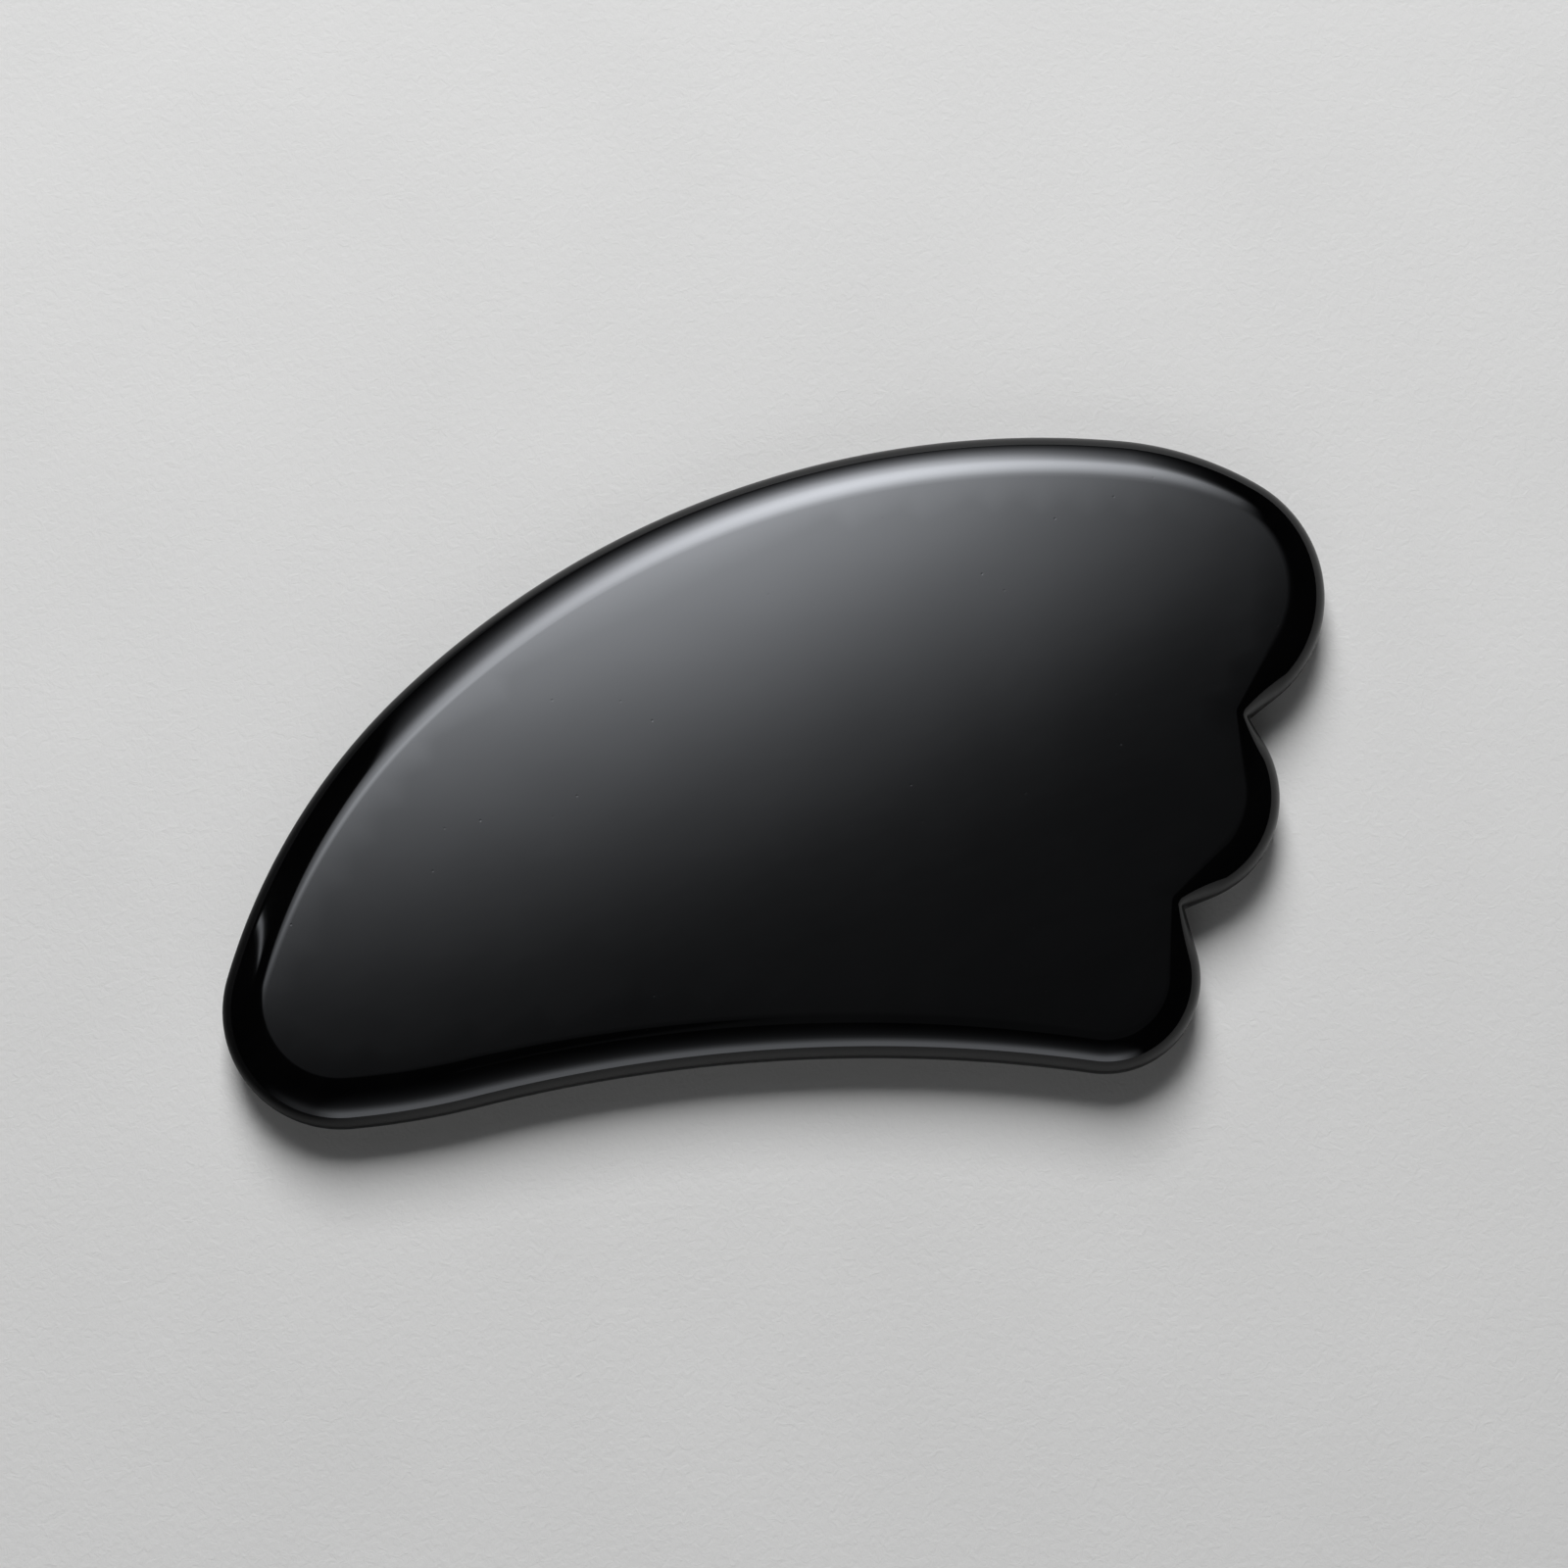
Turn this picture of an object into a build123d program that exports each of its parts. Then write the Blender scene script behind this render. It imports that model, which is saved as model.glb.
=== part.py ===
"""Gua sha scraper: one slab of polished black stone with a rounded edge all round.

Seen from above with its length along X, the slab has a broad crown along the back, a
rounded tip at the -X end, a long hollow edge that follows the jaw, and three lobes at the
+X end with a narrow notch between each pair. All dimensions are in millimetres. The origin
is under the middle of the outline, on the surface the stone lies on, and Z points up.
"""

import os
from math import asin, atan2, copysign, cos, degrees, hypot, pi, radians, sin, sqrt

from build123d import *

THICKNESS = 7.0
EDGE_DEPTH = 4.6  # how far in from the outline the flat face begins
EDGE_FULLNESS = 2.2  # 2 is a plain half ellipse; more is squarer where it meets the face
EDGE_STEPS = 14  # cross-sections from one face to the other, less one

# The convex rounds of the outline, counter-clockwise from the tip: centre x and y, radius,
# and the share of the edge's depth that the round has. The small lobes are ground less deep.
TIP = (-44.1, 4.8, 10.9, 0.95)
HEEL = (18.75, -24.0, 8.75, 0.75)
MIDDLE_LOBE = (32.0, -12.0, 10.0, 0.8)
TOP_LOBE = (42.7, 3.85, 12.3, 0.85)
CROWN = (-1.0, -51.5, 84.25, 1.0)

# The arcs that join one round to the next.
JAW_RADIUS = 72.0  # the first part of the jaw edge, still convex, next to the tip
JAW_START = -112.0  # the direction, in degrees round the tip, where it leaves the tip
HOLLOW_RADIUS = 145.0  # the rest of the jaw edge, as far as the heel
FRONT_SHOULDER_RADIUS = 30.0  # from the top lobe to the crown
REAR_SHOULDER_RADIUS = 58.0  # from the crown to the tip

# The small concave round at the root of each notch, which a straight joins to each lobe.
HEEL_NOTCH = (28.53, -22.17)
TOP_NOTCH = (42.2, -9.25)
NOTCH_RADIUS = 0.45
NOTCH_LEAN = 0.2  # how far the round leans in for each millimetre that the edge does
NOTCH_OPENING = 0.15  # how much its radius grows for each millimetre that the edge draws in


def distance(first, second):
    return hypot(second[0] - first[0], second[1] - first[1])


def meeting_point(first, reach_first, second, reach_second):
    """The point at the two given distances from two centres, right of first to second."""
    gap = distance(first, second)
    forward = (gap**2 + reach_first**2 - reach_second**2) / (2 * gap)
    aside = sqrt(reach_first**2 - forward**2)
    across, along = (second[0] - first[0]) / gap, (second[1] - first[1]) / gap
    return (
        first[0] + forward * across + aside * along,
        first[1] + forward * along - aside * across,
    )


def carried_on(round_, radius, direction):
    """A flatter convex arc that carries on from a round, from the given direction on it."""
    turn, back = radians(direction), radius - round_[2]
    return (round_[0] - back * cos(turn), round_[1] - back * sin(turn), radius)


def hollow_between(first, second, radius):
    """A long concave arc that touches two rounds from outside."""
    centre = meeting_point(first, radius + first[2], second, radius + second[2])
    return (*centre, -radius)


def shoulder_between(first, second, radius):
    """A convex arc that touches two rounds from inside."""
    centre = meeting_point(first, abs(radius - first[2]), second, abs(radius - second[2]))
    return (*centre, radius)


def notch_between(first, second, centre, inset):
    """The small concave round of a notch, which leans in towards the middle of the slab."""
    gap = distance(first, second)
    lean = NOTCH_LEAN * inset / gap
    return (
        centre[0] - lean * (second[1] - first[1]),
        centre[1] + lean * (second[0] - first[0]),
        -(NOTCH_RADIUS + NOTCH_OPENING * inset),
    )


def touching_point(first, second):
    """Where one arc of the outline hands over to the next; a negative radius is concave."""
    if first[2] * second[2] < 0:
        share = abs(first[2]) / (abs(first[2]) + abs(second[2]))
    else:
        share = first[2] / (first[2] - second[2])
    return (
        first[0] + share * (second[0] - first[0]),
        first[1] + share * (second[1] - first[1]),
    )


def straight_between(first, second):
    """The ends of the straight that leaves a convex arc for a concave one, or the reverse."""
    lean = asin((abs(first[2]) + abs(second[2])) / distance(first, second))
    heading = atan2(second[1] - first[1], second[0] - first[0]) + copysign(lean, first[2])
    return [(x + r * sin(heading), y - r * cos(heading)) for x, y, r in (first, second)]


def outline(inset):
    """The slab's closed outline, drawn in by the inset: arcs, with straights by the notches."""
    tip, heel, middle_lobe, top_lobe, crown = [
        (x, y, radius - share * inset)
        for x, y, radius, share in (TIP, HEEL, MIDDLE_LOBE, TOP_LOBE, CROWN)
    ]
    jaw = carried_on(tip, JAW_RADIUS - inset, JAW_START)
    heel_notch = notch_between(heel, middle_lobe, HEEL_NOTCH, inset)
    top_notch = notch_between(middle_lobe, top_lobe, TOP_NOTCH, inset)
    arcs = [
        tip,
        jaw,
        hollow_between(jaw, heel, HOLLOW_RADIUS + inset),
        heel,
        heel_notch,
        middle_lobe,
        top_notch,
        top_lobe,
        shoulder_between(top_lobe, crown, FRONT_SHOULDER_RADIUS - inset),
        crown,
        shoulder_between(crown, tip, REAR_SHOULDER_RADIUS - inset),
    ]
    joins = []
    for arc, after in zip(arcs, arcs[1:] + arcs[:1]):
        if heel_notch in (arc, after) or top_notch in (arc, after):
            joins.append(straight_between(arc, after))
        else:
            joins.append([touching_point(arc, after)] * 2)
    for (x, y, radius), (_, start), (end, following) in zip(arcs, joins[-1:] + joins[:-1], joins):
        turn_from = degrees(atan2(start[1] - y, start[0] - x))
        turn_to = degrees(atan2(end[1] - y, end[0] - x))
        sweep = (turn_to - turn_from) % 360 if radius > 0 else -((turn_from - turn_to) % 360)
        CenterArc((x, y), abs(radius), turn_from, sweep)
        if end != following:
            Line(end, following)


def edge_profile(step):
    """How far one cross-section is drawn in, and its height, on a squared half ellipse."""
    angle = pi * step / EDGE_STEPS - pi / 2
    out = cos(angle) ** (2 / EDGE_FULLNESS)
    up = abs(sin(angle)) ** (2 / EDGE_FULLNESS)
    height = THICKNESS / 2 * (1 + (up if angle > 0 else -up))
    return EDGE_DEPTH * (1 - out), height


with BuildPart() as scraper_stone:
    for step in range(EDGE_STEPS + 1):
        inset, height = edge_profile(step)
        with BuildSketch(Plane.XY.offset(height)):
            with BuildLine():
                outline(inset)
            make_face()
    loft()

scraper_stone.part.label = "scraper_stone"
os.makedirs("parts", exist_ok=True)
export_step(scraper_stone.part, "parts/scraper_stone.step")
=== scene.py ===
"""The gua sha scraper: one slab of polished black stone, lying on a pale floor in soft light."""

import math

import bpy
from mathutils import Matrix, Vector
from mathutils.geometry import delaunay_2d_cdt


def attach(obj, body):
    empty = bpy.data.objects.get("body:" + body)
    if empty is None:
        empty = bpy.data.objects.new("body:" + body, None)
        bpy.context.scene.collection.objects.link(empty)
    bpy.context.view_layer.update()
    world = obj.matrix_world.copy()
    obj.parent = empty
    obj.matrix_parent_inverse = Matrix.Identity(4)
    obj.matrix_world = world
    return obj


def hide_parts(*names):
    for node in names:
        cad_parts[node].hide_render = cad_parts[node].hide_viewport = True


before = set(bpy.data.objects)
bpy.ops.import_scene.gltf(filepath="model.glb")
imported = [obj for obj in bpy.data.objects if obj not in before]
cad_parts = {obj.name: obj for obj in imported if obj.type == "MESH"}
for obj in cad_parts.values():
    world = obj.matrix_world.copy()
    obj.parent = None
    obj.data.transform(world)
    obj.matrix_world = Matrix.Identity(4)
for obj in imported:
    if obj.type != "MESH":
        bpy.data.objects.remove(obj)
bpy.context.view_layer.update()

scene = bpy.context.scene
MM = 0.001

# ---------------------------------------------------------------- camera
CAMERA_AZIMUTH = -27.0
CAMERA_ELEVATION = 79.0
CAMERA_DISTANCE = 0.3434
LOOK_AT = Vector((0.0013, 0.0058, 0.0))
FOCAL_LENGTH = 85.0
SENSOR_WIDTH = 36.0


def direction(azimuth, elevation):
    """A unit vector from the object; azimuth 0 is towards -Y and 90 towards +X."""
    a, e = math.radians(azimuth), math.radians(elevation)
    return Vector((math.sin(a) * math.cos(e), -math.cos(a) * math.cos(e), math.sin(e)))


camera_data = bpy.data.cameras.new("camera")
camera_data.lens = FOCAL_LENGTH
camera_data.sensor_width = SENSOR_WIDTH
camera_data.clip_start = 0.01
camera_data.clip_end = 20.0
camera = bpy.data.objects.new("camera", camera_data)
scene.collection.objects.link(camera)
towards_camera = direction(CAMERA_AZIMUTH, CAMERA_ELEVATION)
camera.location = LOOK_AT + CAMERA_DISTANCE * towards_camera
camera.rotation_mode = "QUATERNION"
camera.rotation_quaternion = (-towards_camera).to_track_quat("-Z", "Y")
scene.camera = camera

# ---------------------------------------------------------------- the slab's shape, in mm
THICKNESS = 7.0
EDGE_DEPTH = 4.6
EDGE_FULLNESS = 2.2
RINGS = 72  # rings of faces from one flat face round the edge to the other
STEP = 0.28  # length of a face along the outline
FACE_GRID = 2.5  # spacing of the points inside the flat faces
RIM_GAP = 0.6  # how near to the rim those points may be, as a share of the spacing
FEWEST = 14  # least number of faces along one piece of the outline
SAME_POINT = 1e-6

# Convex rounds: centre x, y, radius, and the share of the edge's depth that the round has.
TIP = (-44.1, 4.8, 10.9, 0.95)
HEEL = (18.75, -24.0, 8.75, 0.75)
MIDDLE_LOBE = (32.0, -12.0, 10.0, 0.8)
TOP_LOBE = (42.7, 3.85, 12.3, 0.85)
CROWN = (-1.0, -51.5, 84.25, 1.0)
JAW_RADIUS = 72.0
JAW_START = -112.0
HOLLOW_RADIUS = 145.0
FRONT_SHOULDER_RADIUS = 30.0
REAR_SHOULDER_RADIUS = 58.0

# The small concave round at the root of each notch, which a straight joins to each lobe.
HEEL_NOTCH = (28.53, -22.17)
TOP_NOTCH = (42.2, -9.25)
NOTCH_RADIUS = 0.45
NOTCH_LEAN = 0.2  # how far the round leans in for each millimetre that the edge does
NOTCH_OPENING = 0.15  # how much its radius grows for each millimetre that the edge draws in


def meeting_point(first, reach_first, second, reach_second):
    """The point at the two given distances from two centres, right of first to second."""
    across, along = second[0] - first[0], second[1] - first[1]
    gap = math.hypot(across, along)
    forward = (gap**2 + reach_first**2 - reach_second**2) / (2 * gap)
    aside = math.sqrt(reach_first**2 - forward**2)
    return (
        first[0] + (forward * across + aside * along) / gap,
        first[1] + (forward * along - aside * across) / gap,
    )


def carried_on(first, radius, direction):
    """A flatter convex arc that carries on from a round, from the given direction on it."""
    turn, back = math.radians(direction), radius - first[2]
    return (first[0] - back * math.cos(turn), first[1] - back * math.sin(turn), radius)


def hollow_between(first, second, radius):
    """A concave arc that touches two convex rounds from between them."""
    centre = meeting_point(first, radius + first[2], second, radius + second[2])
    return (*centre, -radius)


def shoulder_between(first, second, radius):
    """A convex arc that carries one convex round over into the next."""
    centre = meeting_point(first, abs(radius - first[2]), second, abs(radius - second[2]))
    return (*centre, radius)


def notch_between(first, second, centre, inset):
    """The small concave round of a notch, which leans in towards the middle of the slab."""
    across, along = second[0] - first[0], second[1] - first[1]
    lean = NOTCH_LEAN * inset / math.hypot(across, along)
    return (
        centre[0] - lean * along,
        centre[1] + lean * across,
        -(NOTCH_RADIUS + NOTCH_OPENING * inset),
    )


def touching_point(first, second):
    """Where two tangent arcs meet. A concave arc has a negative radius."""
    if first[2] * second[2] < 0:
        share = abs(first[2]) / (abs(first[2]) + abs(second[2]))
    else:
        share = first[2] / (first[2] - second[2])
    return (
        first[0] + share * (second[0] - first[0]),
        first[1] + share * (second[1] - first[1]),
    )


def straight_between(first, second):
    """The ends of the straight that leaves a convex arc for a concave one, or the reverse."""
    across, along = second[0] - first[0], second[1] - first[1]
    lean = math.asin((abs(first[2]) + abs(second[2])) / math.hypot(across, along))
    heading = math.atan2(along, across) + math.copysign(lean, first[2])
    return [(x + r * math.sin(heading), y - r * math.cos(heading)) for x, y, r in (first, second)]


def outline(inset):
    """The outline drawn in by the inset, as arcs and, beside the notches, straights.

    An arc is (centre x, centre y, radius, start angle, sweep), and a straight (start, end)."""
    tip, heel, middle_lobe, top_lobe, crown = [
        (x, y, radius - share * inset)
        for x, y, radius, share in (TIP, HEEL, MIDDLE_LOBE, TOP_LOBE, CROWN)
    ]
    jaw = carried_on(tip, JAW_RADIUS - inset, JAW_START)
    heel_notch = notch_between(heel, middle_lobe, HEEL_NOTCH, inset)
    top_notch = notch_between(middle_lobe, top_lobe, TOP_NOTCH, inset)
    arcs = [
        tip,
        jaw,
        hollow_between(jaw, heel, HOLLOW_RADIUS + inset),
        heel,
        heel_notch,
        middle_lobe,
        top_notch,
        top_lobe,
        shoulder_between(top_lobe, crown, FRONT_SHOULDER_RADIUS - inset),
        crown,
        shoulder_between(crown, tip, REAR_SHOULDER_RADIUS - inset),
    ]
    joins = []
    for arc, after in zip(arcs, arcs[1:] + arcs[:1]):
        if heel_notch in (arc, after) or top_notch in (arc, after):
            joins.append(straight_between(arc, after))
        else:
            joins.append([touching_point(arc, after)] * 2)
    pieces = []
    for (x, y, radius), (_, start), (end, following) in zip(arcs, joins[-1:] + joins[:-1], joins):
        begin = math.atan2(start[1] - y, start[0] - x)
        finish = math.atan2(end[1] - y, end[0] - x)
        sweep = (finish - begin) % math.tau if radius > 0 else -((begin - finish) % math.tau)
        pieces.append((x, y, abs(radius), begin, sweep))
        if end != following:
            pieces.append((end, following))
    return pieces


def length_of(piece):
    """The length of an arc or a straight from the outline."""
    return abs(piece[2] * piece[4]) if len(piece) == 5 else math.dist(*piece)


# How many faces run along each piece of the outline. All the rings have the same.
counts = [
    max(FEWEST, round(max(length_of(wide), length_of(narrow)) / STEP))
    for wide, narrow in zip(outline(0.0), outline(EDGE_DEPTH))
]


def ring_points(inset):
    """The points of the outline drawn in by the inset."""
    points = []
    for piece, count in zip(outline(inset), counts):
        for i in range(count):
            part = i / count
            if len(piece) == 5:
                x, y, radius, begin, sweep = piece
                turn = begin + sweep * part
                points.append((x + radius * math.cos(turn), y + radius * math.sin(turn)))
            else:
                (x, y), (end_x, end_y) = piece
                points.append((x + part * (end_x - x), y + part * (end_y - y)))
    return points


def make_slab(name):
    """The whole stone as one closed mesh: rings of quads round the edge, and two flat faces."""
    vertices, faces = [], []
    around = sum(counts)
    for ring in range(RINGS + 1):
        angle = math.pi * ring / RINGS - math.pi / 2
        out = max(math.cos(angle), 0.0) ** (2 / EDGE_FULLNESS)
        up = math.copysign(abs(math.sin(angle)) ** (2 / EDGE_FULLNESS), angle)
        height = THICKNESS / 2 * (1 + up)
        vertices += [(x, y, height) for x, y in ring_points(EDGE_DEPTH * (1 - out))]
    for ring in range(RINGS):
        below, above = ring * around, (ring + 1) * around
        for i in range(around):
            j = (i + 1) % around
            faces.append((below + i, below + j, above + j, above + i))

    # The flat faces: an even triangle grid, joined to the edge's first and last rings.
    rim = [Vector(p) for p in ring_points(EDGE_DEPTH)]
    low = Vector((min(p.x for p in rim), min(p.y for p in rim)))
    high = Vector((max(p.x for p in rim), max(p.y for p in rim)))
    inside = []
    row_step = FACE_GRID * math.sqrt(3) / 2
    for row in range(int((high.y - low.y) / row_step) + 1):
        for column in range(int((high.x - low.x) / FACE_GRID) + 1):
            p = low + Vector(((column + 0.5 * (row % 2)) * FACE_GRID, row * row_step))
            if within(p, rim) and min((p - q).length for q in rim) > RIM_GAP * FACE_GRID:
                inside.append(p)
    loop = [(i, (i + 1) % around) for i in range(around)]
    points, _, triangles, origins, _, _ = delaunay_2d_cdt(
        rim + inside, loop, [], 1, SAME_POINT
    )
    for base_ring, height, flip in ((0, 0.0, True), (RINGS, THICKNESS, False)):
        where = {}
        for i, p in enumerate(points):
            if origins[i] and origins[i][0] < around:
                where[i] = base_ring * around + origins[i][0]
            else:
                where[i] = len(vertices)
                vertices.append((p.x, p.y, height))
        for triangle in triangles:
            corners = [where[i] for i in triangle]
            faces.append(tuple(reversed(corners)) if flip else tuple(corners))

    mesh = bpy.data.meshes.new(name)
    mesh.from_pydata([tuple(MM * c for c in v) for v in vertices], [], faces)
    mesh.validate()
    mesh.polygons.foreach_set("use_smooth", [True] * len(mesh.polygons))
    mesh.update()
    slab = bpy.data.objects.new(name, mesh)
    scene.collection.objects.link(slab)
    return slab


def within(p, loop):
    """Whether a point is inside a closed loop, by counting the edges that a ray crosses."""
    crossings = 0
    for a, b in zip(loop, loop[1:] + loop[:1]):
        if (a.y > p.y) != (b.y > p.y) and p.x < a.x + (p.y - a.y) * (b.x - a.x) / (b.y - a.y):
            crossings += 1
    return crossings % 2 == 1


# ---------------------------------------------------------------- node helpers
def fresh_tree(owner):
    owner.use_nodes = True
    owner.node_tree.nodes.clear()
    return owner.node_tree


def node(tree, kind, **settings):
    made = tree.nodes.new(kind)
    for key, value in settings.items():
        setattr(made, key, value)
    return made


def feed(tree, value, socket):
    """Give an input a number or another node's output."""
    if isinstance(value, (int, float)):
        socket.default_value = value
    else:
        tree.links.new(value, socket)


def maths(tree, operation, *values):
    made = node(tree, "ShaderNodeMath", operation=operation)
    for socket, value in zip(made.inputs, values):
        feed(tree, value, socket)
    return made.outputs[0]


def ramp_between(tree, value, low, high, out_low=0.0, out_high=1.0):
    """A smooth step from out_low at low to out_high at high."""
    made = node(tree, "ShaderNodeMapRange", interpolation_type="SMOOTHSTEP")
    feed(tree, value, made.inputs["Value"])
    ends = {"From Min": low, "From Max": high, "To Min": out_low, "To Max": out_high}
    for name, number in ends.items():
        made.inputs[name].default_value = number
    return made.outputs["Result"]


def two_colour_ramp(tree, value, first, second):
    """A colour ramp between two (position, colour) ends."""
    made = node(tree, "ShaderNodeValToRGB")
    for stop, (position, colour) in zip(made.color_ramp.elements, (first, second)):
        stop.position = position
        stop.color = (*colour, 1)
    feed(tree, value, made.inputs["Fac"])
    return made.outputs["Color"]


CURVE_REACH = 10.0  # more than any height that a curve below has


def curve_of(tree, value, points, reach):
    """A smooth curve through (position, height) points; position runs from 0 to reach."""
    made = node(tree, "ShaderNodeFloatCurve")
    made.mapping.clip_max_x = 1.0
    made.mapping.clip_min_y = -CURVE_REACH
    made.mapping.clip_max_y = CURVE_REACH
    made.mapping.use_clip = False
    line = made.mapping.curves[0]
    while len(line.points) < len(points):
        line.points.new(0.5, 0.5)
    for point, (position, height) in zip(line.points, points):
        point.location = (position / reach, height)
    made.mapping.update()
    feed(tree, maths(tree, "DIVIDE", value, reach), made.inputs["Value"])
    return made.outputs["Value"]


def noise(tree, vector, scale, detail, roughness, distortion=0.0):
    made = node(tree, "ShaderNodeTexNoise")
    tree.links.new(vector, made.inputs["Vector"])
    made.inputs["Scale"].default_value = scale
    made.inputs["Detail"].default_value = detail
    made.inputs["Roughness"].default_value = roughness
    made.inputs["Distortion"].default_value = distortion
    return made.outputs["Fac"]


def bump(tree, height, strength, distance, normal=None):
    """The surface's normal, bumped by a height; distance is in metres."""
    made = node(tree, "ShaderNodeBump")
    made.inputs["Strength"].default_value = strength
    made.inputs["Distance"].default_value = distance
    tree.links.new(height, made.inputs["Height"])
    if normal:
        tree.links.new(normal, made.inputs["Normal"])
    return made.outputs["Normal"]


def turned_to_camera(tree, vector):
    """Turn a vector about Z so that +Y runs straight away from the camera. Gives X, Y and Z."""
    turned = node(tree, "ShaderNodeMapping", vector_type="POINT")
    turned.inputs["Rotation"].default_value = (0.0, 0.0, -math.radians(CAMERA_AZIMUTH))
    tree.links.new(vector, turned.inputs["Vector"])
    split = node(tree, "ShaderNodeSeparateXYZ")
    tree.links.new(turned.outputs["Vector"], split.inputs["Vector"])
    return split.outputs


# ---------------------------------------------------------------- the stone
STONE_IOR = 1.5
BAND_DIRECTION = 18.0  # degrees about Z
BAND_STRETCH = (0.35, 1.0, 1.6)
DARKEST_STONE = (0.36, (0.0002, 0.0002, 0.00025))  # position on the ramp, colour
PALEST_STONE = (0.72, (0.0012, 0.0012, 0.0013))
DULLEST_PATCH = 0.05
DULLEST_LINE = 0.02
LEAST_DULLNESS = 0.015
WAVE_HEIGHT = 0.000012
PIT_SPACING = 420.0
PIT_EDGE = 0.055
PIT_DEPTH = 0.00001


def polished_stone():
    material = bpy.data.materials.new("polished_black_stone")
    tree = fresh_tree(material)
    place = node(tree, "ShaderNodeTexCoord").outputs["Object"]
    surface = node(tree, "ShaderNodeBsdfPrincipled")
    surface.inputs["IOR"].default_value = STONE_IOR

    # Colour: all but black, with faint smoky bands along the slab.
    stretched = node(tree, "ShaderNodeMapping")
    stretched.inputs["Scale"].default_value = BAND_STRETCH
    stretched.inputs["Rotation"].default_value = (0.0, 0.0, math.radians(BAND_DIRECTION))
    tree.links.new(place, stretched.inputs["Vector"])
    along_bands = stretched.outputs["Vector"]
    bands = noise(tree, along_bands, scale=95.0, detail=5.0, roughness=0.62, distortion=1.1)
    colour = two_colour_ramp(tree, bands, DARKEST_STONE, PALEST_STONE)
    tree.links.new(colour, surface.inputs["Base Color"])

    # Polish: a high gloss, a little duller in soft patches left by the polishing wheel.
    patches = noise(tree, place, scale=70.0, detail=3.0, roughness=0.55)
    lines = noise(tree, along_bands, scale=900.0, detail=2.0, roughness=0.5)
    dullness = maths(tree, "MULTIPLY_ADD", patches, DULLEST_PATCH, LEAST_DULLNESS)
    dullness = maths(tree, "MULTIPLY_ADD", lines, DULLEST_LINE, dullness)
    tree.links.new(dullness, surface.inputs["Roughness"])

    # Surface: broad hand-ground waves, and rare pits too fine to see from afar.
    waves = noise(tree, place, scale=60.0, detail=1.0, roughness=0.4)
    wavy = bump(tree, waves, 1.0, WAVE_HEIGHT)
    cells = node(tree, "ShaderNodeTexVoronoi")
    cells.inputs["Scale"].default_value = PIT_SPACING
    tree.links.new(place, cells.inputs["Vector"])
    pits = ramp_between(tree, cells.outputs["Distance"], 0.0, PIT_EDGE)
    pitted = bump(tree, pits, 0.25, PIT_DEPTH, wavy)
    tree.links.new(pitted, surface.inputs["Normal"])

    output = node(tree, "ShaderNodeOutputMaterial")
    tree.links.new(surface.outputs["BSDF"], output.inputs["Surface"])
    return material


stone = make_slab("polished_stone_slab")
stone.data.materials.append(polished_stone())
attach(stone, "root")
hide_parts("scraper_stone")

# ---------------------------------------------------------------- the floor
FLOOR_HALF = 2.5
FLOOR_ROUGHNESS = 0.7
FLOOR_SPECULAR = 0.3
DARKEST_FLOOR = (0.3, (0.79, 0.79, 0.785))  # position on the ramp, colour
PALEST_FLOOR = (0.7, (0.82, 0.82, 0.815))
GRAIN_HEIGHT = 0.00018
# Painted shade: in reflections the floor's colour keeps only a share of its brightness, which
# grows from left to right.
FLOOR_DARKENS = (-0.065, -0.025)  # where the growth begins and ends, in metres across
REFLECTED_SHARE = (0.05, 0.55)
# The sockets of a Mix node that mixes colours.
MIX_FACTOR, MIX_FIRST, MIX_SECOND, MIX_RESULT = 0, 6, 7, 2


def floor_material():
    material = bpy.data.materials.new("pale_floor")
    tree = fresh_tree(material)
    place = node(tree, "ShaderNodeTexCoord").outputs["Object"]
    surface = node(tree, "ShaderNodeBsdfPrincipled")
    surface.inputs["Roughness"].default_value = FLOOR_ROUGHNESS
    surface.inputs["Specular IOR Level"].default_value = FLOOR_SPECULAR
    cloud = noise(tree, place, scale=40.0, detail=3.0, roughness=0.5)
    colour = two_colour_ramp(tree, cloud, DARKEST_FLOOR, PALEST_FLOOR)

    # Painted shade in the stone's reflections: for glossy rays the floor's colour is darkened,
    # darkest of all at the left.
    across = turned_to_camera(tree, place)["X"]
    reflected = ramp_between(tree, across, *FLOOR_DARKENS, *REFLECTED_SHARE)
    painted_reflection_shade = node(tree, "ShaderNodeVectorMath", operation="SCALE")
    tree.links.new(colour, painted_reflection_shade.inputs[0])
    tree.links.new(reflected, painted_reflection_shade.inputs["Scale"])
    # Mixes in the painted shade that glossy rays see on the floor.
    shade = node(tree, "ShaderNodeMix", data_type="RGBA")
    in_reflection = node(tree, "ShaderNodeLightPath").outputs["Is Glossy Ray"]
    tree.links.new(in_reflection, shade.inputs[MIX_FACTOR])
    tree.links.new(colour, shade.inputs[MIX_FIRST])
    tree.links.new(painted_reflection_shade.outputs["Vector"], shade.inputs[MIX_SECOND])
    tree.links.new(shade.outputs[MIX_RESULT], surface.inputs["Base Color"])

    grain = noise(tree, place, scale=1300.0, detail=4.0, roughness=0.6, distortion=0.8)
    tree.links.new(bump(tree, grain, 0.35, GRAIN_HEIGHT), surface.inputs["Normal"])
    output = node(tree, "ShaderNodeOutputMaterial")
    tree.links.new(surface.outputs["BSDF"], output.inputs["Surface"])
    return material


floor_mesh = bpy.data.meshes.new("floor")
floor_corners = [
    (x * FLOOR_HALF, y * FLOOR_HALF, 0.0) for x, y in ((-1, -1), (1, -1), (1, 1), (-1, 1))
]
floor_mesh.from_pydata(floor_corners, [], [(0, 1, 2, 3)])
floor = bpy.data.objects.new("floor", floor_mesh)
floor.data.materials.append(floor_material())
scene.collection.objects.link(floor)

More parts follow.
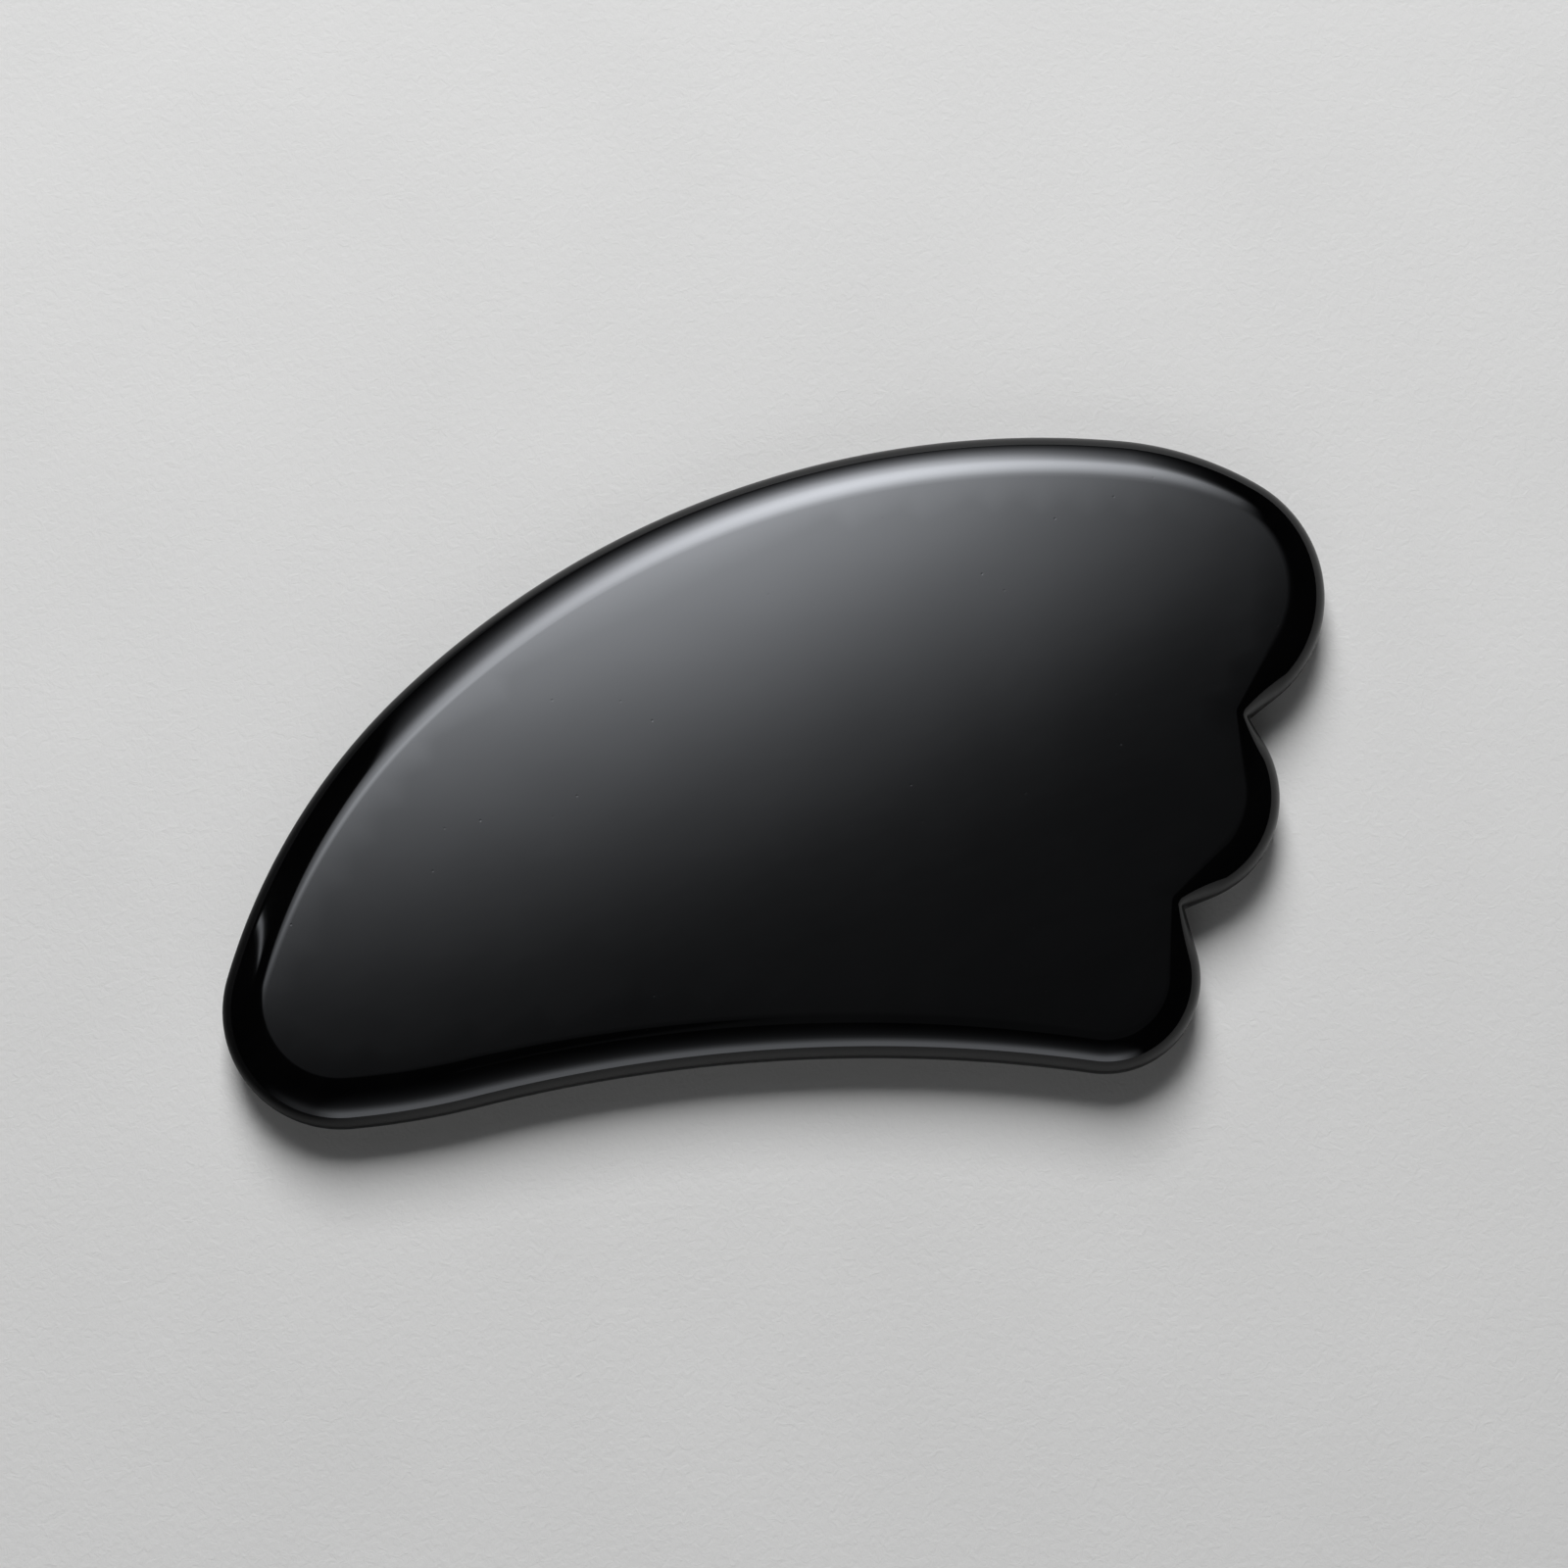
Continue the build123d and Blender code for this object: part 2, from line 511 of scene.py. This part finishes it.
# ---------------------------------------------------------------- the light
# One large softbox stands behind the stone and leans over it, and a narrow pale reflector
# stands in front. The rest of the room is dark. The world shader is what the polished stone
# reflects of them; two area lights, on about the same sides, light the floor and cast the
# shadow. Angles are in degrees: tilt is measured down from straight overhead, and turn is
# measured round from straight behind, clockwise as seen from above.
def area_light(name, turn, elevation, away, width, height, watts):
    """A rectangular light that faces the stone and is not itself seen or reflected."""
    data = bpy.data.lights.new(name, "AREA")
    data.shape = "RECTANGLE"
    data.size = width
    data.size_y = height
    data.energy = watts
    lamp = bpy.data.objects.new(name, data)
    scene.collection.objects.link(lamp)
    towards = direction(CAMERA_AZIMUTH + 180.0 - turn, elevation)
    lamp.location = away * towards
    lamp.rotation_mode = "QUATERNION"
    lamp.rotation_quaternion = towards.to_track_quat("Z", "Y")
    lamp.visible_camera = lamp.visible_glossy = False


area_light(
    "softbox", turn=-8.0, elevation=47.0, away=0.95, width=0.38, height=0.58, watts=9.0
)
area_light("fill", turn=175.0, elevation=40.0, away=1.5, width=1.6, height=0.8, watts=2.8)

# The points of these three curves, and the fades, slants and ends in softbox, reflector and
# slit, were read off the reflections in the reference picture with a scratch program, then
# thinned out and adjusted by hand. They are staging, and no part of the stone depends on them.
HORIZON = 90.0  # tilt
OVERHEAD_REACH = 30.0  # how far from overhead the softbox's lower edge is followed
SOFTBOX_BRIGHTNESS = [  # tilt, log10 of the brightness along the softbox's middle
    (0, -1.7), (8, -0.65), (12, 0.35), (17, 0.97), (24, 1.15), (33, 1.21), (45, 1.04),
    (60, 0.6), (75, 0.02), (85, -0.5), (90, -1.4),
]
LOWER_EDGE_BRIGHTNESS = [  # degrees past the lower edge, log10 of the brightness
    (0, -1.3), (5, -1.16), (8, -0.98), (9, -0.78), (11, -0.12), (13, 0.4), (15, 0.76),
    (18, 1.0), (30, 1.1),
]
REFLECTOR_BRIGHTNESS = [  # tilt, brightness
    (0, 0.0), (38, 0.06), (50, 0.17), (60, 0.55), (70, 1.35), (78, 1.75), (90, 1.6),
]
MIDDLE_SWING = 172.0  # how far left the softbox's middle is, in degrees of turn times tilt
LEAST_TILT = 8.0  # nearer to overhead than this, the middle swings no further
EDGE_SLANT = 0.44  # how the softbox's lower edge rises to the right
EDGE_BOW = 0.016  # how it bows, for each degree
SLIT_TURN = 64.0
SLIT_BRIGHTNESS = 2.5
ROOM_BRIGHTNESS = 0.012
LIGHT_COLOUR = (0.96, 0.995, 1.06, 1)
BACKDROP_COLOUR = (1.0, 1.0, 1.0, 1)
BACKDROP_BRIGHTNESS = 0.62

world = bpy.data.worlds.new("studio")
scene.world = world
world.cycles_visibility.diffuse = False
scene.view_settings.view_transform = "Standard"
sky = fresh_tree(world)


def total(first, second):
    return maths(sky, "ADD", first, second)


def less(first, second):
    return maths(sky, "SUBTRACT", first, second)


def product(first, second):
    return maths(sky, "MULTIPLY", first, second)


def quotient(first, second):
    return maths(sky, "DIVIDE", first, second)


def larger(first, second):
    return maths(sky, "MAXIMUM", first, second)


def smaller(first, second):
    return maths(sky, "MINIMUM", first, second)


def squared(value):
    return product(value, value)


def step(value, low, high, out_low=0.0, out_high=1.0):
    return ramp_between(sky, value, low, high, out_low, out_high)


right, behind, above = turned_to_camera(
    sky, node(sky, "ShaderNodeTexCoord").outputs["Generated"]
)
tilt = maths(sky, "DEGREES", maths(sky, "ARCCOSINE", above))
turn = maths(sky, "DEGREES", maths(sky, "ARCTAN2", right, behind))


def softbox():
    """The softbox: brightest a little left of straight behind, and fading to both sides."""
    off_middle = total(turn, quotient(MIDDLE_SWING, larger(tilt, LEAST_TILT)))
    left_fade = step(tilt, 18.0, 40.0, 0.0005, 0.0011)
    right_fade = step(tilt, 36.0, 56.0, 0.0009, 0.003)
    faded = total(
        product(squared(smaller(off_middle, 0.0)), left_fade),
        product(squared(larger(off_middle, 0.0)), right_fade),
    )
    middle = less(curve_of(sky, tilt, SOFTBOX_BRIGHTNESS, HORIZON), faded)

    # Overhead, where it begins, its brightness follows its slanted and bowed lower edge.
    spread = maths(sky, "SINE", maths(sky, "RADIANS", tilt))
    sideways = product(tilt, quotient(right, spread))
    backward = product(tilt, quotient(behind, spread))
    lower_edge = total(product(sideways, EDGE_SLANT), product(squared(sideways), EDGE_BOW))
    past_edge = smaller(larger(less(backward, lower_edge), 0.0), OVERHEAD_REACH)
    edge = curve_of(sky, past_edge, LOWER_EDGE_BRIGHTNESS, OVERHEAD_REACH)
    leaned = step(tilt, 14.0, 20.0)
    power = total(product(middle, leaned), product(edge, less(1.0, leaned)))
    brightness = maths(sky, "POWER", 10.0, power)

    # Its left end is sharp and slants, and its right end is soft.
    left_end = step(tilt, 18.0, 32.0, -57.0, -42.0)
    from_left = step(less(turn, left_end), -1.5, 1.5)
    right_end = step(turn, 18.0, 36.0, 1.0, 0.0)
    from_right = larger(right_end, less(1.0, step(tilt, 14.0, 28.0)))
    return product(brightness, product(from_left, from_right))


def reflector():
    """The reflector in front, with soft ends and a faint reach to the left."""
    ahead = maths(sky, "DEGREES", maths(sky, "ARCTAN2", right, product(behind, -1.0)))
    ends = product(step(ahead, -24.0, -3.0, 0.2, 1.0), step(ahead, 8.0, 34.0, 1.0, 0.0))
    reach = product(ends, step(ahead, -55.0, -22.0))
    return product(reach, curve_of(sky, tilt, REFLECTOR_BRIGHTNESS, HORIZON))


def slit():
    """A narrow upright slit of light at the far left."""
    off_slit = maths(sky, "ABSOLUTE", total(turn, SLIT_TURN))
    upright = product(step(tilt, 34.0, 42.0), step(tilt, 74.0, 82.0, 1.0, 0.0))
    return product(step(off_slit, 0.1, 0.8, SLIT_BRIGHTNESS, 0.0), upright)


radiance = total(total(softbox(), reflector()), total(slit(), ROOM_BRIGHTNESS))
lit = node(sky, "ShaderNodeBackground")
lit.inputs["Color"].default_value = LIGHT_COLOUR
sky.links.new(radiance, lit.inputs["Strength"])
backdrop = node(sky, "ShaderNodeBackground")
backdrop.inputs["Color"].default_value = BACKDROP_COLOUR
backdrop.inputs["Strength"].default_value = BACKDROP_BRIGHTNESS
choice = node(sky, "ShaderNodeMixShader")
sky.links.new(node(sky, "ShaderNodeLightPath").outputs["Is Camera Ray"], choice.inputs["Fac"])
sky.links.new(lit.outputs["Background"], choice.inputs[1])
sky.links.new(backdrop.outputs["Background"], choice.inputs[2])
sky_output = node(sky, "ShaderNodeOutputWorld")
sky.links.new(choice.outputs["Shader"], sky_output.inputs["Surface"])
